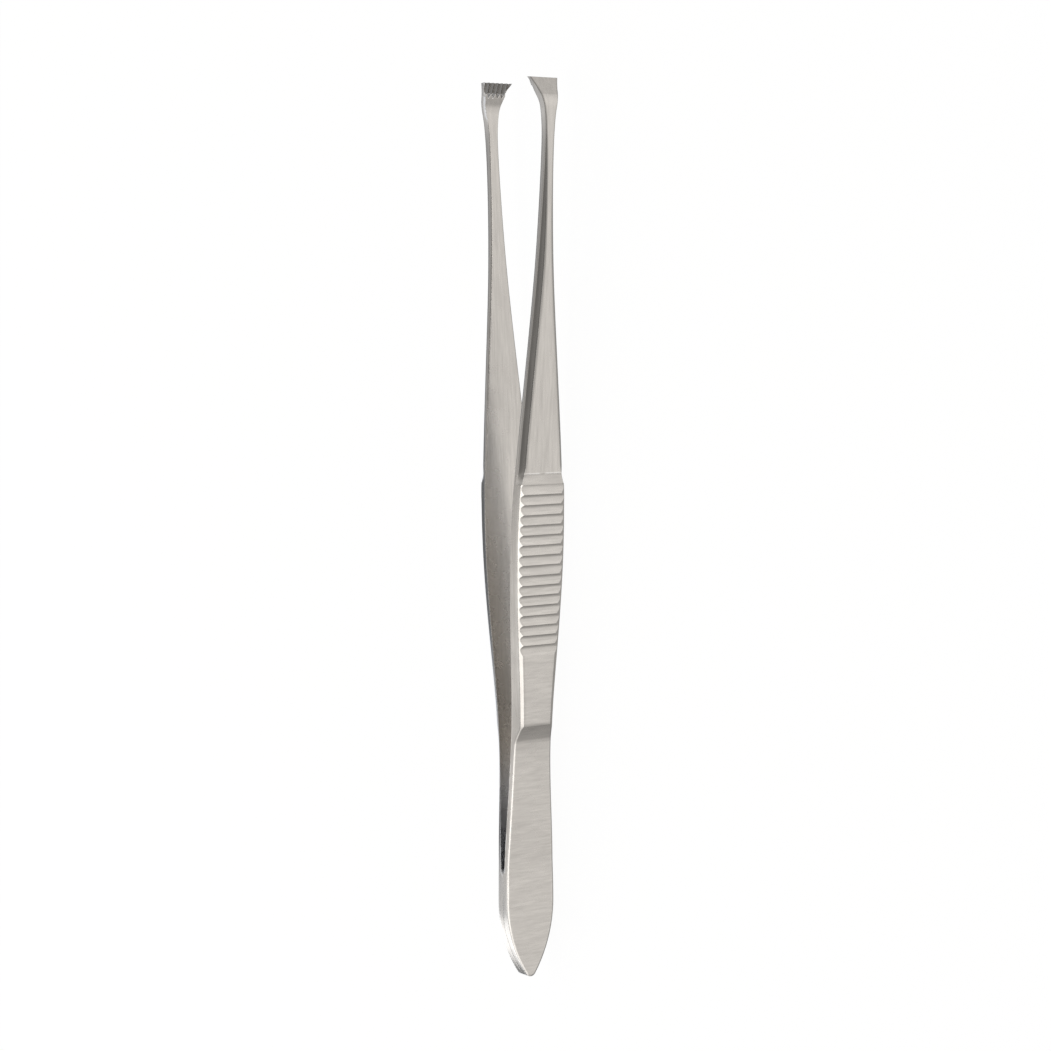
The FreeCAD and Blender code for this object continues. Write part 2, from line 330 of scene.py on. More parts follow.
    def stations(self):
        """Sections of the leaf: point on the inner face, point on the outer face, thickness and place."""
        rows = []
        for angle in np.linspace(0.0, self.touch, 11):
            rows.append(self.nose * (1.0 - math.cos(angle)))
        widest = PLAN[0][0]
        rows += list(widest - (widest - rows[-1]) * np.cos(np.linspace(0.0, math.pi / 2.0, 26))[1:])
        rows += list(np.linspace(widest, PAD_END, 9)[1:])
        rows += list(np.linspace(PAD_END, self.relief_end, 5)[1:])
        rows += list(np.linspace(self.relief_end, STEP[0], 40)[1:])
        rows += list(np.linspace(STEP[0], STEP[1], 21)[1:])
        rows += list(np.linspace(STEP[1], self.grip_start, 20)[1:])
        shares = (0.09, 0.18, 0.27, 0.36, 0.45, 0.55, 0.65, 0.70, 0.75, 0.80, 0.85, 0.90, 0.95, 1.0)
        for i in range(self.count + 2):
            start = self.grip_start + i * self.pitch
            rows += [start + share * self.pitch for share in shares]
            if i == self.count:
                rows.append(rows[-1] + 0.02)
        neck_start = self.grip_end + self.handle + CREST_RISE - FRONT_DROP - self.neck
        rows += [neck_start, neck_start + 0.10, neck_start + 0.16]
        rows += list(np.linspace(neck_start + 0.3, BEND_AT - 0.25, 90))
        sections = []
        for u in rows:
            thick = self.thickness(u)
            base = np.array((u, self.inner(u)))
            sections.append((base, base + np.array((0.0, thick)), thick, u))
        for angle in np.linspace(0.0, self.bend, 13):
            a = self.on_bend(BEND_RADIUS, angle)
            b = self.on_bend(BEND_RADIUS + self.jaw_root, angle)
            sections.append((a, b, self.jaw_root, a[0]))
        root, along, outward = self.jaw_frame()
        setback = self.jaw * math.tan(math.radians(END_SLOPE) + self.bend - self.splay)
        tip_in = root + along * self.jaw_length
        tip_out = tip_in + outward * self.jaw - along * setback
        heel = self.on_bend(BEND_RADIUS + self.jaw_root, self.bend)
        for share in np.linspace(0.0, 1.0, 91)[1:]:
            a = root + along * self.jaw_length * share
            b = heel + (tip_out - heel) * share
            sections.append((a, b, self.jaw_root + (self.jaw - self.jaw_root) * share, a[0]))
        return sections

    def tail_shift(self, u):
        """Direction in which the chamfer round the tail's nose is cut, along and across the leaf."""
        if u >= PLAN[0][0]:
            return 0.0, 1.0
        touch_u = self.nose * (1.0 - math.cos(self.touch))
        if u < touch_u:
            angle = math.acos(1.0 - u / self.nose)
        else:
            angle = math.acos((PLAN[0][0] - u) / self.ogive)
        return math.cos(angle), math.sin(angle)


def rounded(corners, sizes, counts, bends):
    """Points of a half section: straight legs between corners that are rounded off. Each point has a mark with its
    leg, its share of that leg, and 1 where it lies on a rounding."""
    points = []
    last = corners[0]
    marks = []
    for i in range(1, len(corners)):
        corner = corners[i]
        if i < len(corners) - 1:
            before = np.linalg.norm(corner - corners[i - 1])
            after = np.linalg.norm(corners[i + 1] - corner)
            size = min(sizes[i - 1], 0.4 * before, 0.4 * after)
            start = corner + (corners[i - 1] - corner) * (size / max(before, TINY))
            end = corner + (corners[i + 1] - corner) * (size / max(after, TINY))
        else:
            start = end = corner
        for share in counts[i - 1]:
            points.append(last + (start - last) * share)
            marks.append((i - 1, share, 0.0))
        if i < len(corners) - 1:
            for t in bends:
                points.append(start * (1 - t) ** 2 + corner * 2 * t * (1 - t) + end * t ** 2)
                marks.append((i, 0.0, 1.0))
        last = end
    points.append(corners[-1])
    marks.append((len(corners) - 1, 1.0, 0.0))
    return points, marks


# Painted light and shade in the steel's colour: on the inner face and on the outer face's rims by place, then in
# single spots

# Painted light and shade along the inner face by place: brighter in the slot in front of the pad, a little darker on
# the neck and jaws
INNER_AT = (12.8, 13.1, 19.0, 24.0, 29.0, 34.0, 40.0, 47.0, 53.0, 58.0, 62.0, 72.0, 84.0, 106.0, 110.0)
INNER_PAINTED_SHADING = (0.80, 1.60, 1.45, 1.38, 1.16, 1.00, 1.07, 1.05, 1.08, 1.12, 1.06, 0.92, 0.92, 0.95, 0.95)
# Painted shade along the rims of the outer face by place, and the width of that shade by place
RIM_AT = (30.0, 33.0, 45.0, 61.8, 64.0, 86.0, 93.0, 110.0)
RIM_PAINTED_SHADE = (1.0, 0.86, 0.92, 0.92, 0.62, 0.62, 0.36, 0.40)
RIM_SHADE_WIDTH_AT = (88.0, 95.0)
RIM_SHADE_WIDTH = (0.34, 0.24)
FAR_RIM_SHADE = (0.5, 0.6)                # how much of its strength and width the painted rim shade on the -Z side has
TOOTH_PAINTED_SHADING = (1.14, 0.46, 3)        # painted shade in a groove's bottom, the painted highlight that the crests have more, and how close they keep it
RUNOUT_PAINTED_SHADING = (1.6, 0.7)            # painted light and painted shade on the two sides of a groove's run-out
GRIP_FRONT_HIGHLIGHT = (-0.02, 0.16, 1.3)     # painted highlight line across the grip's front end: from, to, strength of the highlight
CHAMFER_PAINTED_SHADING = (0.82, 0.45)         # painted shade on the neck's chamfer beside the wall, and the painted light it has more at the outer face
JAW_PAINTED_HIGHLIGHT = (105.6, 108.3, 1.6)     # painted highlight patch on the side of the rear jaw: from, to, strength of the highlight
# Painted light on the neck's walls and on the tail's chamfer, and painted shade on the jaw's end face
NECK_WALL_PAINTED_LIGHT = 1.10
TAIL_CHAMFER_PAINTED_LIGHT = 1.2
END_FACE_PAINTED_SHADE = 0.45

# Points of a half section: columns over the inner face, which the teeth need, and shares of the other legs

COLUMN = 0.08125
COLUMNS = 26
LEGS = (
    None,
    (0.0, 0.34, 0.67),
    (0.0, 0.25, 0.5, 0.75),
    (0.0, 0.06, 0.14, 0.26, 0.42, 0.60, 0.80),
)
BENDS = (0.0, 0.17, 0.33, 0.5, 0.67, 0.83, 1.0)

# Rounding of the inner face's, the wall's and the outer face's edges by place, as shares of the edge rounding

ROUNDED_AT = (0.0, 13.0, 29.0, 32.0, 60.0, 63.0, 88.0, 103.0, 106.0, 110.0)
ROUNDED = (
    (0.6, 0.6, 1.5, 3.0, 3.0, 6.0, 7.0, 4.0, 1.5, 0.6),
    (1.0, 1.0, 1.0, 1.0, 1.0, 5.0, 5.0, 4.0, 2.0, 1.5),
    (0.9, 0.9, 0.9, 0.9, 0.9, 0.4, 0.4, 0.4, 0.8, 1.0),
)


def tooth_tone(jaws, side, u, w):
    """Painted light and shade of a place between the ends of the grooves, or None where there are no teeth."""
    grooves = jaws.teeth - (side > 0.0)
    fade = 1.0 - (LENGTH - u - jaws.reach / MM) / (jaws.runout / MM)
    across = w / (jaws.pitch / MM)
    if fade <= 0.0 or abs(across) > grooves / 2.0 + 0.5:
        return None
    phase = (across + grooves / 2.0 + 100.0) % 1.0
    slope = abs(2.0 * phase - 1.0)
    # In the run-out, painted light on one side of a groove and painted shade on the other
    if fade < 1.0:
        lit, dark = RUNOUT_PAINTED_SHADING
        return (lit if phase < 0.5 else dark) if slope < fade + 0.05 else 1.0
    # Painted shade in the groove's bottom, painted highlight towards the crests
    groove_shade, crest_highlight, power = TOOTH_PAINTED_SHADING
    return groove_shade + crest_highlight * slope ** power


def finish_tone(leaf, jaws, side, u, w, leg, share, face, bend):
    """Painted light and shade, beside the plain outer faces, on a leg of the section: 0 is the inner face, 1 the
    side wall, 2 the bevel or chamfer and 3 the outer face."""
    # On the inner face: painted light and shade by place, or the teeth's painted shading
    if leg == 0 or (leg == 1 and bend):
        tone = tooth_tone(jaws, side, u, w)
        return float(np.interp(u, INNER_AT, INNER_PAINTED_SHADING)) if tone is None else tone
    # On the outer face: painted shade along the rims, and a painted highlight line across the grip's front end
    if leg == 3:
        rim_shade = float(np.interp(u, RIM_AT, RIM_PAINTED_SHADE))
        soft = float(np.interp(u, RIM_SHADE_WIDTH_AT, RIM_SHADE_WIDTH))
        if w < 0.0:
            rim_shade, soft = 1.0 - FAR_RIM_SHADE[0] + FAR_RIM_SHADE[0] * rim_shade, FAR_RIM_SHADE[1] * soft
        tone = float(np.interp(share * face, (0.3 * soft, soft), (rim_shade, 1.0)))
        start, end, bright = GRIP_FRONT_HIGHLIGHT
        return tone * bright if leaf.grip_end + start < u < leaf.grip_end + end else tone
    # Painted shade and painted light across the neck's chamfer
    if leg == 2 and u > leaf.grip_end:
        return CHAMFER_PAINTED_SHADING[0] + CHAMFER_PAINTED_SHADING[1] * share
    # Painted light on the tail's chamfer
    if leg == 2 and u < STEP[0]:
        return TAIL_CHAMFER_PAINTED_LIGHT
    # A painted highlight on the side of the rear jaw
    start, end, bright = JAW_PAINTED_HIGHLIGHT
    if leg == 1 and side > 0.0 and share < 0.5 and start + share < u < end:
        return bright
    # Painted light on the neck's walls
    return NECK_WALL_PAINTED_LIGHT if leg == 1 and leaf.grip_end < u < BEND_AT else 1.0


def leaf_blank(name, leaf, jaws, side):
    """Mesh of a leaf before its flutes and teeth, with the attributes that the cuts and the steel use, among them
    the painted light and shade.
    """
    verts, cuts, teeth, grain, edges, tones = [], [], [], [], [], []
    loops = []
    for base, top, thick, u in leaf.stations():
        on_jaw = u > BEND_AT
        wall, bevel = leaf.cut(u, thick)
        across, deep = leaf.tail_shift(u)
        rise = (top - base) / thick

        def half(m):
            point = base + rise * m
            return leaf.half_width(point[0], point[1])

        inner, outer = half(0.0), half(wall)
        face = max(0.0, outer - bevel * deep)
        corners = [np.array(p) for p in ((0.0, 0.0), (inner, 0.0), (outer, wall), (face, thick), (0.0, thick))]
        sizes = [leaf.edge * np.interp(u, ROUNDED_AT, scales) for scales in ROUNDED]
        flat = max(inner - sizes[0], 0.0)
        scale = 1.0 if on_jaw else max(1.0, flat / (COLUMN * COLUMNS))
        columns = [min(k * COLUMN * scale, flat) / max(flat, TINY) for k in range(COLUMNS + 1)]
        points, marks = rounded(corners, sizes, (columns,) + LEGS[1:], BENDS)
        slope = bevel / max(thick - wall, TINY)
        ring = []
        for mirror in (1.0, -1.0):
            row = []
            for index, ((w, m), (leg, share, bend)) in enumerate(zip(points, marks)):
                if mirror < 0.0 and index in (0, len(points) - 1):
                    continue
                place = base + rise * m
                up_bevel = max(0.0, (m - wall) / max(thick - wall, TINY))
                shift = across * bevel * up_bevel
                x = TAIL_X + (place[0] + shift) * MM
                row.append(len(verts))
                verts.append((x, side * place[1] * MM, MIDDLE_Z + mirror * w * MM))
                lift = 0.0
                if leaf.grip_start - 0.01 < u < leaf.grip_end + 0.01 and leg >= 2:
                    lift = up_bevel if leg == 2 else 1.0
                spread = min(1.0, w / max(face, TINY)) if m > wall + 0.98 * (thick - wall) else 1.0
                cuts.append((0.0, side * lift, -mirror * slope * lift * spread))
                inside = 1.0 if on_jaw and m < 0.3 * thick else 0.0
                teeth.append((rise[0] * inside, side * rise[1] * inside, 0.0))
                grain.append(1.0 if leg >= 3 and 0.0 < u < leaf.grip_end else 0.0)
                # Painted light and shade of this point
                tones.append(finish_tone(leaf, jaws, side, u, mirror * w, leg, share, face, bend))
                edges.append(bend * (sizes[leg - 1] < 2.0 * leaf.edge) if bend else 0.0)
            ring.append(row)
        loops.append(ring[0] + ring[1][::-1])
    count = len(loops[0])
    faces = []
    for a, b in zip(loops[:-1], loops[1:]):
        for i in range(count):
            j = (i + 1) % count
            faces.append((a[i], a[j], b[j], b[i]))
    faces.append(tuple(loops[-1]))
    # Painted shade on the jaw's end face
    tones[-count:] = [END_FACE_PAINTED_SHADE] * count
    mesh = bpy.data.meshes.new(name)
    mesh.from_pydata(verts, [], faces)
    layers = (
        ("cut", "FLOAT_VECTOR", cuts), ("tooth", "FLOAT_VECTOR", teeth), ("crosswise", "FLOAT", grain),
        ("edge", "FLOAT", edges), ("tone", "FLOAT", tones),
    )
    for label, kind, values in layers:
        layer = mesh.attributes.new(label, kind, "POINT")
        layer.data.foreach_set("vector" if kind == "FLOAT_VECTOR" else "value", np.array(values).ravel())
    return mesh


# Node trees

class Tree:
    """Short calls that add nodes to a tree and join them."""

    def __init__(self, tree):
        self.tree = tree

    def add(self, kind, values=None, **settings):
        node = self.tree.nodes.new(kind)
        for key, value in settings.items():
            setattr(node, key, value)
        for key, value in (values or {}).items():
            self.put(node.inputs[key], value)
        return node

    def put(self, socket, value):
        if isinstance(value, bpy.types.NodeSocket):
            self.tree.links.new(value, socket)
        else:
            socket.default_value = value

    def math(self, operation, *values, clamp=False):
        kind = "ShaderNodeMath"
        node = self.add(kind, dict(enumerate(values)), operation=operation, use_clamp=clamp)
        return node.outputs[0]

    def vector(self, operation, *values):
        node = self.add("ShaderNodeVectorMath", operation=operation)
        for socket, value in zip([s for s in node.inputs if s.enabled], values):
            self.put(socket, value)
        return node.outputs["Vector"]


def new_group(name, kind, inputs, outputs):
    """Node group with named sockets, and its input and output nodes."""
    group = bpy.data.node_groups.new(name, kind)
    for direction, sockets in (("INPUT", inputs), ("OUTPUT", outputs)):
        for label, socket_type, default in sockets:
            socket = group.interface.new_socket(label, in_out=direction, socket_type="NodeSocket" + socket_type)
            if default is not None:
                socket.default_value = default
    tree = Tree(group)
    return tree, tree.add("NodeGroupInput").outputs, tree.add("NodeGroupOutput").inputs


def move_and_finish(tree, given, out, attribute, distance):
    """Ends a geometry tree: moves the points by a distance along an attribute, and gives them the leaf's steel."""
    way = tree.add("GeometryNodeInputNamedAttribute", {"Name": attribute}, data_type="FLOAT_VECTOR")
    scaled = tree.add("ShaderNodeVectorMath", operation="SCALE")
    tree.put(scaled.inputs[0], way.outputs["Attribute"])
    tree.put(scaled.inputs["Scale"], distance)
    moved = tree.add("GeometryNodeSetPosition", {"Geometry": given["Geometry"], "Offset": scaled.outputs[0]})
    real = tree.add("GeometryNodeRealizeInstances", {"Geometry": moved.outputs[0]}).outputs[0]
    steel = tree.add("GeometryNodeSetMaterial", {"Geometry": real, "Material": given["Steel"]}).outputs[0]
    tree.put(out["Geometry"], steel)


def flutes_tree():
    """Hollow flutes, one after another along the grip, which the bevels cut off at their ends."""
    tree, given, out = new_group(
        "grip_flutes", "GeometryNodeTree",
        [("Geometry", "Geometry", None), ("Rear Crest", "Float", 0.0), ("Pitch", "Float", 0.001),
         ("Crests", "Int", 16), ("Depth", "Float", 0.0001), ("Lowest At", "Float", 0.65),
         ("Rear Share", "Float", 0.9), ("Last Share", "Float", 0.6), ("Front Share", "Float", 0.27),
         ("Steel", "Material", None)],
        [("Geometry", "Geometry", None)],
    )
    place = tree.add("GeometryNodeInputPosition").outputs[0]
    x = tree.add("ShaderNodeSeparateXYZ", {0: place}).outputs[0]
    k = tree.math("DIVIDE", tree.math("SUBTRACT", x, given["Rear Crest"]), given["Pitch"])
    index = tree.math("FLOOR", tree.math("ADD", k, 0.0005))
    part = tree.math("SUBTRACT", k, index)
    low = given["Lowest At"]
    rear = tree.math("DIVIDE", tree.math("SUBTRACT", low, part), low)
    front = tree.math("DIVIDE", tree.math("SUBTRACT", part, low), tree.math("SUBTRACT", 1.0, low))
    off = tree.math("MAXIMUM", rear, front)
    hollow = tree.math("SUBTRACT", 1.0, tree.math("MULTIPLY", off, off), clamp=True)
    last = tree.math("SUBTRACT", given["Crests"], 1.0)
    shares = [
        (tree.math("COMPARE", index, -1.0, 0.1), given["Rear Share"]),
        (tree.math("MULTIPLY", tree.math("GREATER_THAN", index, -0.5), tree.math("LESS_THAN", index, last)), 1.0),
        (tree.math("COMPARE", index, last, 0.1), given["Last Share"]),
        (tree.math("COMPARE", index, given["Crests"], 0.1), given["Front Share"]),
    ]
    total = 0.0
    for mask, share in shares:
        total = tree.math("ADD", total, tree.math("MULTIPLY", mask, share))
    depth = tree.math("MULTIPLY", tree.math("MULTIPLY", hollow, total), given["Depth"])
    move_and_finish(tree, given, out, "cut", tree.math("MULTIPLY", depth, -1.0))
    return tree.tree


def teeth_tree():
    """V grooves side by side along a jaw, each of which runs out to a point."""
    tree, given, out = new_group(
        "jaw_teeth", "GeometryNodeTree",
        [("Geometry", "Geometry", None), ("Middle", "Float", 0.0), ("Tip", "Float", 0.055),
         ("Pitch", "Float", 0.00065), ("Grooves", "Int", 6), ("Depth", "Float", 0.00033),
         ("Length", "Float", 0.00125), ("Run-out", "Float", 0.0006), ("Steel", "Material", None)],
        [("Geometry", "Geometry", None)],
    )
    place = tree.add("GeometryNodeInputPosition").outputs[0]
    axes = tree.add("ShaderNodeSeparateXYZ", {0: place}).outputs
    across = tree.math("DIVIDE", tree.math("SUBTRACT", axes[2], given["Middle"]), given["Pitch"])
    half = tree.math("DIVIDE", given["Grooves"], 2.0)
    phase = tree.math("FRACT", tree.math("ADD", tree.math("ADD", across, half), 100.0))
    slope = tree.math("ABSOLUTE", tree.math("SUBTRACT", tree.math("MULTIPLY", phase, 2.0), 1.0))
    inside = tree.math("LESS_THAN", tree.math("ABSOLUTE", across), tree.math("ADD", half, 0.001))
    left = tree.math("SUBTRACT", tree.math("SUBTRACT", given["Tip"], axes[0]), given["Length"])
    fade = tree.math("SUBTRACT", 1.0, tree.math("DIVIDE", left, given["Run-out"]))
    share = tree.math("MINIMUM", fade, 1.0)
    groove = tree.math("MAXIMUM", tree.math("SUBTRACT", share, slope), 0.0)
    depth = tree.math("MULTIPLY", tree.math("MULTIPLY", groove, inside), given["Depth"])
    move_and_finish(tree, given, out, "tooth", depth)
    return tree.tree


def apply_tree(piece, tree, values):
    """Runs a geometry tree on a piece, with the values of its named inputs."""
    modifier = piece.modifiers.new(tree.name, "NODES")
    modifier.node_group = tree
    for item in tree.interface.items_tree:
        if item.in_out == "INPUT" and item.name in values:
            modifier[item.identifier] = values[item.name]


def plain_mesh(piece):
    """Replaces a piece's mesh by what its modifiers make of it, and removes them."""
    bpy.context.view_layer.update()
    graph = bpy.context.evaluated_depsgraph_get()
    evaluated = piece.evaluated_get(graph)
    mesh = bpy.data.meshes.new_from_object(evaluated, preserve_all_data_layers=True, depsgraph=graph)
    piece.modifiers.clear()
    piece.data = mesh
    return mesh


# Brushed steel

FINE_STROKES = 3600.0               # noise cells to the metre across the strokes
LONG_STROKES = 130.0                # and along them
ACROSS_SHORTER = 3.2                # how much shorter the strokes are that run across the leaf
PAINTED_LIGHT_TINT = (0.96, 1.0, 1.06, 1.0)  # cooler colour of the spots with the strongest painted light
MERGE_DISTANCE = 1e-6
THIN_DISTANCE = 1e-7
SMOOTH_ANGLE = math.radians(32.0)


def grain_group():
    """Brushing strokes that run along or across the leaf, as the crosswise attribute says."""
    if "brushed_grain" in bpy.data.node_groups:
        return bpy.data.node_groups["brushed_grain"]
    tree, given, out = new_group(
        "brushed_grain", "ShaderNodeTree",
        [("Position", "Vector", None), ("Crosswise", "Float", 0.0), ("Fine", "Float", 3600.0),
         ("Long", "Float", 130.0)],
        [("Height", "Float", None), ("Streak", "Float", None), ("Cloud", "Float", None)],
    )
    streaks, heights = [], []
    for crosswise in (False, True):
        fine = given["Fine"]
        long = tree.math("MULTIPLY", given["Long"], ACROSS_SHORTER if crosswise else 1.0)
        first, last = (fine, long) if crosswise else (long, fine)
        stretch = tree.add("ShaderNodeCombineXYZ", {0: first, 1: fine, 2: last})
        place = tree.vector("MULTIPLY", given["Position"], stretch.outputs[0])
        noise = tree.add("ShaderNodeTexNoise", {"Vector": place, "Scale": 1.0, "Detail": 5.0, "Roughness": 0.62})
        coarse = tree.vector("MULTIPLY", place, (0.6, 0.6, 0.6))
        soft = tree.add("ShaderNodeTexNoise", {"Vector": coarse, "Scale": 1.0, "Detail": 2.0, "Roughness": 0.5})
        heights.append(noise.outputs["Fac"])
        blend = tree.add("ShaderNodeMix", {
            0: 0.3, 2: noise.outputs["Fac"], 3: soft.outputs["Fac"]}, data_type="FLOAT")
        streaks.append(blend.outputs[0])
    for label, pair in (("Height", heights), ("Streak", streaks)):
        mix = tree.add("ShaderNodeMix", {0: given["Crosswise"], 2: pair[0], 3: pair[1]}, data_type="FLOAT")
        tree.put(out[label], mix.outputs[0])
    cloud = tree.add("ShaderNodeTexNoise", {"Vector": given["Position"], "Scale": 420.0, "Detail": 3.0})
    tree.put(out["Cloud"], cloud.outputs["Fac"])
    return tree.tree


def wear_and_highlight_group():
    """Rounded edges painted brighter, partly as polish wear and partly as painted highlight, broken up by a fine
    noise.
    """
    if "edge_wear_and_highlight" in bpy.data.node_groups:
        return bpy.data.node_groups["edge_wear_and_highlight"]
    tree, given, out = new_group(
        "edge_wear_and_highlight", "ShaderNodeTree",
        [("Position", "Vector", None), ("Edge", "Float", 0.0), ("Amount", "Float", 0.6)],
        [("WearAndHighlight", "Float", None)],
    )
    noise = tree.add("ShaderNodeTexNoise", {"Vector": given["Position"], "Scale": 900.0, "Detail": 4.0})
    broken = tree.add("ShaderNodeMapRange", {0: noise.outputs["Fac"], 1: 0.3, 2: 0.6, 3: 0.45, 4: 1.0})
    worn_and_highlit = tree.math("MULTIPLY", tree.math("MULTIPLY", given["Edge"], given["Amount"]), broken.outputs[0], clamp=True)
    tree.put(out["WearAndHighlight"], worn_and_highlit)
    return tree.tree


def steel_material(name, look, fine, long):
    """Satin brushed steel, with strokes of a given width and length."""
    material = bpy.data.materials.new(name)
    material.use_nodes = True
    tree = Tree(material.node_tree)
    material.node_tree.nodes.clear()
    place = tree.add("ShaderNodeTexCoord").outputs["Object"]
    crosswise = tree.add("ShaderNodeAttribute", attribute_name="crosswise").outputs["Fac"]
    edge = tree.add("ShaderNodeAttribute", attribute_name="edge").outputs["Fac"]
    grain = tree.add("ShaderNodeGroup", node_tree=grain_group())
    for key, value in (("Position", place), ("Crosswise", crosswise), ("Fine", fine), ("Long", long)):
        tree.put(grain.inputs[key], value)
    # Rounded edges painted brighter: partly polish wear, partly painted highlight
    wear_and_highlight = tree.add("ShaderNodeGroup", node_tree=wear_and_highlight_group())
    for key, value in (("Position", place), ("Edge", edge), ("Amount", 0.5)):
        tree.put(wear_and_highlight.inputs[key], value)
    shade = tree.add("ShaderNodeMapRange", {
        0: grain.outputs["Streak"], 1: 0.3, 2: 0.7, 3: 1.0 - look.spread, 4: 1.0 + look.spread})
    plain = tree.add("ShaderNodeMix", {
        0: wear_and_highlight.outputs[0], 6: tuple(look.steel) + (1.0,), 7: tuple(look.worn_and_highlit) + (1.0,)}, data_type="RGBA")
    # The painted shading attribute scales the colour with painted light and shade; where the painted light is
    # strongest, the colour turns cooler
    tone = tree.add("ShaderNodeAttribute", attribute_name="tone").outputs["Fac"]
    deep = tree.add("ShaderNodeMapRange", {0: tone, 1: 1.15, 2: 1.5, 3: 0.0, 4: 1.0})
    painted_light_cooling = tree.add("ShaderNodeMix", {0: deep.outputs[0], 6: (1.0, 1.0, 1.0, 1.0), 7: PAINTED_LIGHT_TINT}, data_type="RGBA")
    tinted = tree.vector("MULTIPLY", plain.outputs[2], tree.math("MULTIPLY", shade.outputs[0], tone))
    tinted = tree.vector("MULTIPLY", tinted, painted_light_cooling.outputs[2])
    rough = tree.add("ShaderNodeMapRange", {
        0: grain.outputs["Cloud"], 1: 0.3, 2: 0.7, 3: look.roughness - 0.03, 4: look.roughness + 0.03})
    bump = tree.add("ShaderNodeBump", {"Height": grain.outputs["Height"], "Distance": look.relief, "Strength": 1.0})
    steel = tree.add("ShaderNodeBsdfPrincipled", {
        "Base Color": tinted, "Metallic": 1.0, "Roughness": rough.outputs[0], "Normal": bump.outputs[0]})
    tree.add("ShaderNodeOutputMaterial", {"Surface": steel.outputs[0]})
    return material


# The forceps

class FORCEPS_OT_leaves(bpy.types.Operator):
    """Builds both leaves, cuts their flutes and teeth, and finishes them in brushed steel"""

    bl_idname = "forceps.leaves"
    bl_label = "Leaves"

    def execute(self, context):
        scene = context.scene
        grip, jaws = scene.forceps_grip, scene.forceps_jaws
        leaf = Leaf(scene.forceps_leaf, grip)
        trees = flutes_tree(), teeth_tree()
        for node, side in LEAVES.items():
            mesh = leaf_blank(node + "_form", leaf, jaws, side)
            piece = bpy.data.objects.new(node + "_form", mesh)
            scene.collection.objects.link(piece)
            steel = steel_material(node + "_brushed_steel", scene.forceps_steel, FINE_STROKES, LONG_STROKES)
            mesh.materials.append(steel)
            apply_tree(piece, trees[0], {
                "Rear Crest": TAIL_X + grip.first, "Pitch": grip.pitch, "Crests": grip.count, "Depth": grip.depth,
                "Lowest At": grip.low, "Steel": steel})
            apply_tree(piece, trees[1], {
                "Middle": MIDDLE_Z, "Tip": TAIL_X + LENGTH * MM, "Pitch": jaws.pitch, "Depth": jaws.depth,
                "Grooves": jaws.teeth if side < 0.0 else jaws.teeth - 1,
                "Length": jaws.reach, "Run-out": jaws.runout, "Steel": steel})
            mesh = plain_mesh(piece)
            form = bmesh.new()
            form.from_mesh(mesh)
            bmesh.ops.remove_doubles(form, verts=form.verts, dist=MERGE_DISTANCE)
            bmesh.ops.dissolve_degenerate(form, edges=form.edges, dist=THIN_DISTANCE)
            bmesh.ops.triangulate(form, faces=[face for face in form.faces if len(face.verts) > 4])
            bmesh.ops.recalc_face_normals(form, faces=form.faces)
            form.to_mesh(mesh)
            form.free()
            mesh.shade_smooth()
            mesh.set_sharp_from_angle(angle=SMOOTH_ANGLE)
            if not mesh.polygons:
                raise RuntimeError(node + " came out empty")
            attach(piece, "root")
            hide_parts(node)
        return {"FINISHED"}


# The studio: brightness of the surround by its angle round the forceps, which is 0 opposite the front leaf's outer
# face and 90 over it, and by its angle along the forceps, from the tail at -90 to the jaws at 90

SURROUND = (
    (-180, 0.15), (-173, 0.15), (-168, 0.30), (-162, 0.95), (-154, 1.0), (-145, 0.60), (-130, 0.42), (-90, 0.36),
    (-67, 0.50), (-52, 0.80), (-35, 0.99), (-20, 1.06), (-12, 1.40), (-4, 2.45), (3, 2.35), (9, 1.15), (15, 0.40),
    (24, 0.22), (38, 0.20), (55, 0.24), (68, 0.32), (78, 0.48), (88, 0.70), (97, 0.78), (110, 0.74), (125, 0.74),
    (140, 0.88), (148, 0.86), (156, 0.44), (164, 0.17), (180, 0.15),
)
ALONG = (
    (-90, 0.34), (-75, 0.38), (-64, 0.50), (-50, 0.56), (-40, 0.58), (-34, 0.60), (-26, 0.74), (-18, 0.90),
    (-11, 1.0), (-4.5, 0.94), (4, 1.01), (10, 1.09), (16, 1.11), (24, 1.08), (32, 1.05), (40, 1.05), (60, 1.20),
    (90, 1.70),
)
BRIGHTEST = 2.5                     # the colour ramps' full scale
DIMMED = 0.55                       # what the surround loses over the forceps' other side, towards the jaws
DIM_ROUND = (62.0, 84.0)
DIM_ALONG = (-3.0, 6.0)
TINT_ROUND = (138.0, 158.0)         # where the warm tint turns into the cool one
WARM = (1.0, 0.975, 0.945, 1.0)
COOL = (0.95, 1.0, 1.08, 1.0)
FLOOR_HALF = 1.5
FLOOR_GLOW = 1.10                   # brightness of the floor's own white
FLOOR_SHOWN = 0.86                  # share of that white in what the camera sees, the rest keeps the shadow
AIM = 55.99                         # place that the camera looks at
ASIDE = 0.33                        # and how far beside the middle


def ramp(tree, value, stops):
    """Colour ramp through stops that are given as angle and brightness, from the first to the last."""
    low, high = float(stops[0][0]), float(stops[-1][0])
    share = tree.add("ShaderNodeMapRange", {0: value, 1: math.radians(low), 2: math.radians(high), 3: 0.0, 4: 1.0})
    node = tree.add("ShaderNodeValToRGB", {0: share.outputs[0]})
    elements = node.color_ramp.elements
    for angle, bright in stops[1:-1]:
        elements.new((angle - low) / (high - low))
    for element, (angle, bright) in zip(elements, stops):
        element.color = (bright / BRIGHTEST,) * 3 + (1.0,)
    return node.outputs[0]


def smooth_range(tree, value, ends):
    """Share that rises smoothly from 0 to 1 between two angles in degrees."""
    low, high = [math.radians(end) for end in ends]
    return tree.add("ShaderNodeMapRange", {0: value, 1: low, 2: high}, interpolation_type="SMOOTHSTEP").outputs[0]


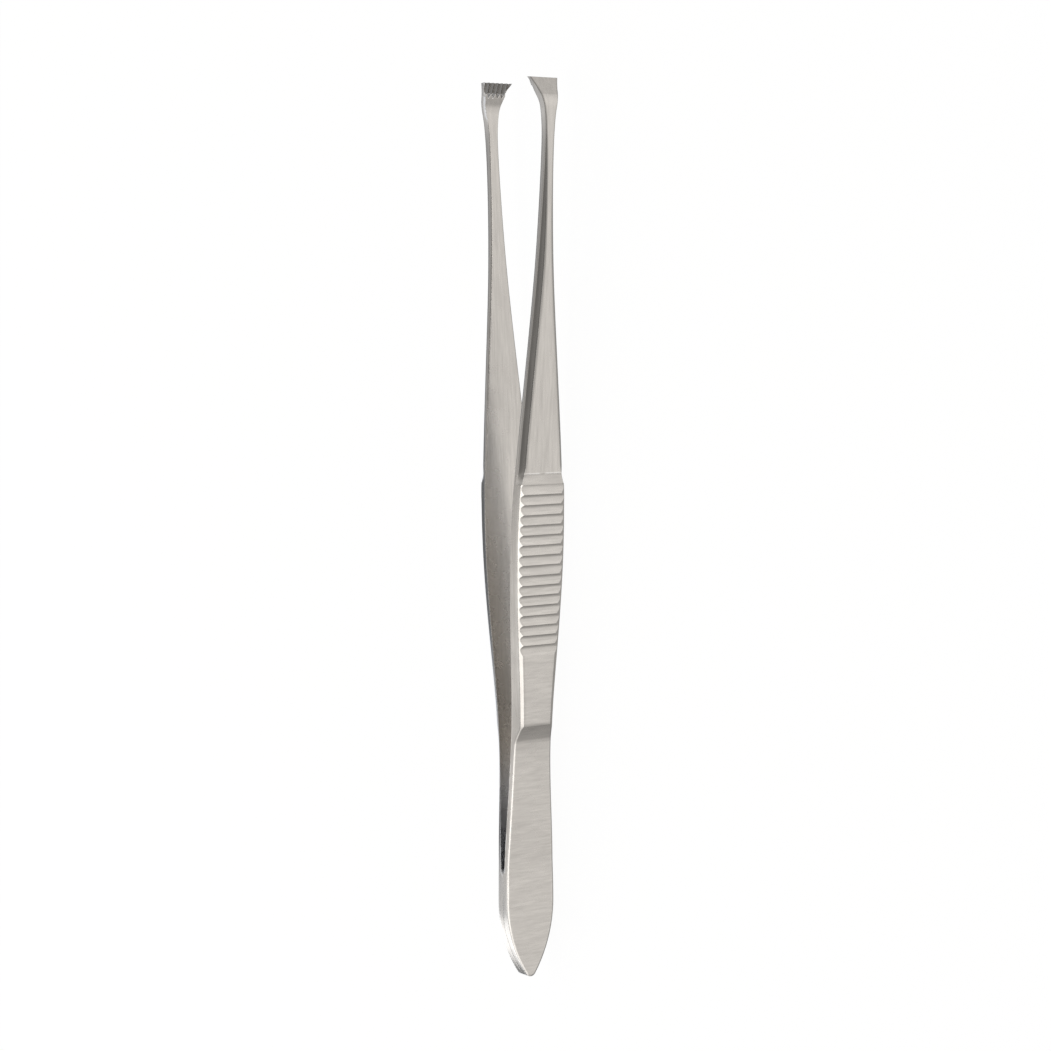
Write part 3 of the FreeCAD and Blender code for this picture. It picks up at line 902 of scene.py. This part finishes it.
def make_surround(scene):
    """World whose brightness changes with direction, as in a small light tent."""
    world = bpy.data.worlds.new("light_tent")
    scene.world = world
    world.use_nodes = True
    tree = Tree(world.node_tree)
    world.node_tree.nodes.clear()
    way = tree.add("ShaderNodeTexCoord").outputs["Generated"]
    axes = tree.add("ShaderNodeSeparateXYZ", {0: way}).outputs
    round_angle = tree.math("ARCTAN2", axes[2], tree.math("MULTIPLY", axes[1], -1.0))
    along_angle = tree.math("ARCSINE", axes[0])
    around = ramp(tree, round_angle, SURROUND)
    along = ramp(tree, along_angle, ALONG)
    behind = smooth_range(tree, round_angle, DIM_ROUND)
    ahead = smooth_range(tree, along_angle, DIM_ALONG)
    dim = tree.math("MULTIPLY", tree.math("MULTIPLY", behind, ahead), DIMMED)
    light = tree.vector("MULTIPLY", tree.vector("MULTIPLY", around, along), tree.math("SUBTRACT", 1.0, dim))
    far = tree.add("ShaderNodeMapRange", {
        0: tree.math("ABSOLUTE", round_angle), 1: math.radians(TINT_ROUND[0]), 2: math.radians(TINT_ROUND[1])})
    tint = tree.add("ShaderNodeMix", {0: far.outputs[0], 6: WARM, 7: COOL}, data_type="RGBA")
    light = tree.vector("MULTIPLY", light, tint.outputs[2])
    background = tree.add("ShaderNodeBackground", {"Color": light, "Strength": BRIGHTEST * BRIGHTEST})
    tree.add("ShaderNodeOutputWorld", {"Surface": background.outputs[0]})


def make_floor(scene, look):
    """Pale floor that shows white behind the forceps and keeps its soft shadow."""
    floor_z = cad_box[0][2]
    mesh = bpy.data.meshes.new("floor")
    corners = [(x * FLOOR_HALF, y * FLOOR_HALF, floor_z) for x, y in ((-1, -1), (1, -1), (1, 1), (-1, 1))]
    mesh.from_pydata(corners, [], [(0, 1, 2, 3)])
    floor = bpy.data.objects.new("floor", mesh)
    scene.collection.objects.link(floor)
    material = bpy.data.materials.new("pale_floor")
    material.use_nodes = True
    tree = Tree(material.node_tree)
    material.node_tree.nodes.clear()
    path = tree.add("ShaderNodeLightPath").outputs
    paint = tree.add("ShaderNodeBsdfDiffuse", {"Color": tuple(look.floor) + (1.0,)})
    white = tree.add("ShaderNodeEmission", {"Color": (1.0, 1.0, 1.0, 1.0), "Strength": FLOOR_GLOW})
    shown = tree.add("ShaderNodeMixShader", {
        0: tree.math("MULTIPLY", path["Is Camera Ray"], FLOOR_SHOWN), 1: paint.outputs[0], 2: white.outputs[0]})
    clear = tree.add("ShaderNodeBsdfTransparent")
    mirrored = tree.math("MAXIMUM", path["Is Glossy Ray"], path["Is Transmission Ray"])
    both = tree.add("ShaderNodeMixShader", {0: mirrored, 1: shown.outputs[0], 2: clear.outputs[0]})
    tree.add("ShaderNodeOutputMaterial", {"Surface": both.outputs[0]})
    mesh.materials.append(material)


def make_softbox(scene, name, angle, lean, distance, wide, long, radiance):
    """Area lamp at an angle round the forceps, leaning over towards the jaws or the tail. Both are in degrees."""
    angle, lean = math.radians(angle), math.radians(lean)
    data = bpy.data.lights.new(name, "AREA")
    data.shape = "RECTANGLE"
    data.size, data.size_y = long, wide
    data.energy = math.pi * wide * long * radiance
    lamp = bpy.data.objects.new(name, data)
    way = Vector((math.sin(lean), -math.cos(angle) * math.cos(lean), math.sin(angle) * math.cos(lean)))
    side = Vector((math.cos(lean), math.cos(angle) * math.sin(lean), -math.sin(angle) * math.sin(lean)))
    turned = Matrix((side, way.cross(side), way)).transposed().to_4x4()
    lamp.matrix_world = Matrix.Translation(way * distance) @ turned
    scene.collection.objects.link(lamp)


def make_camera(scene, look):
    """Camera at the photograph's viewing angle, turned so that the jaws are at the top."""
    turn, tilt, roll = look.turn, look.tilt, look.roll
    ahead = Vector((-math.sin(tilt), math.cos(tilt) * math.cos(turn), -math.cos(tilt) * math.sin(turn)))
    up = Vector((math.cos(tilt), math.sin(tilt) * math.cos(turn), -math.sin(tilt) * math.sin(turn)))
    right = Vector((0.0, -math.sin(turn), -math.cos(turn)))
    aim = Vector((TAIL_X + AIM * MM, 0.0, MIDDLE_Z)) + right * ASIDE * MM
    across = right * math.cos(roll) + up * math.sin(roll)
    upright = up * math.cos(roll) - right * math.sin(roll)
    data = bpy.data.cameras.new("camera")
    data.sensor_width = 36.0
    data.lens = look.lens
    data.clip_start = 0.01
    camera = bpy.data.objects.new("camera", data)
    turned = Matrix((across, upright, -ahead)).transposed().to_4x4()
    camera.matrix_world = Matrix.Translation(aim - ahead * look.distance) @ turned
    scene.collection.objects.link(camera)
    scene.camera = camera


class FORCEPS_OT_stage(bpy.types.Operator):
    """Makes the floor, the surround, the lamps and the camera"""

    bl_idname = "forceps.stage"
    bl_label = "Stage"

    def execute(self, context):
        scene = context.scene
        look = scene.forceps_studio
        scene.view_settings.view_transform = "Standard"
        make_surround(scene)
        make_floor(scene, look)
        make_softbox(scene, "key_softbox", 100.0, 0.0, distance=0.6, wide=0.20, long=0.60, radiance=0.25)
        make_softbox(scene, "tail_softbox", 157.0, -45.0, distance=0.6, wide=0.20, long=0.46, radiance=1.8)
        make_camera(scene, look)
        return {"FINISHED"}


class FORCEPS_PT_panel(bpy.types.Panel):
    """Lists the steps that build the forceps"""

    bl_idname = "FORCEPS_PT_panel"
    bl_label = "Forceps"
    bl_space_type = "VIEW_3D"
    bl_region_type = "UI"
    bl_category = "Forceps"

    def draw(self, context):
        for group in GROUPS:
            column = self.layout.column()
            settings = getattr(context.scene, group)
            for name in settings.bl_rna.properties.keys():
                if name not in ("rna_type", "name"):
                    column.prop(settings, name)
        for step in STEPS:
            self.layout.operator(step.bl_idname)


GROUPS = {
    "forceps_leaf": LeafSizes, "forceps_grip": GripSizes, "forceps_jaws": JawSizes, "forceps_steel": SteelLook,
    "forceps_studio": StudioLook,
}
STEPS = (FORCEPS_OT_leaves, FORCEPS_OT_stage)


def register():
    for kind in tuple(GROUPS.values()) + STEPS + (FORCEPS_PT_panel,):
        bpy.utils.register_class(kind)
    for name, kind in GROUPS.items():
        setattr(bpy.types.Scene, name, bpy.props.PointerProperty(type=kind))


def unregister():
    for name in GROUPS:
        delattr(bpy.types.Scene, name)
    for kind in reversed(tuple(GROUPS.values()) + STEPS + (FORCEPS_PT_panel,)):
        bpy.utils.unregister_class(kind)


def main():
    register()
    bpy.ops.forceps.leaves()
    bpy.ops.forceps.stage()


if __name__ == "__main__":
    main()
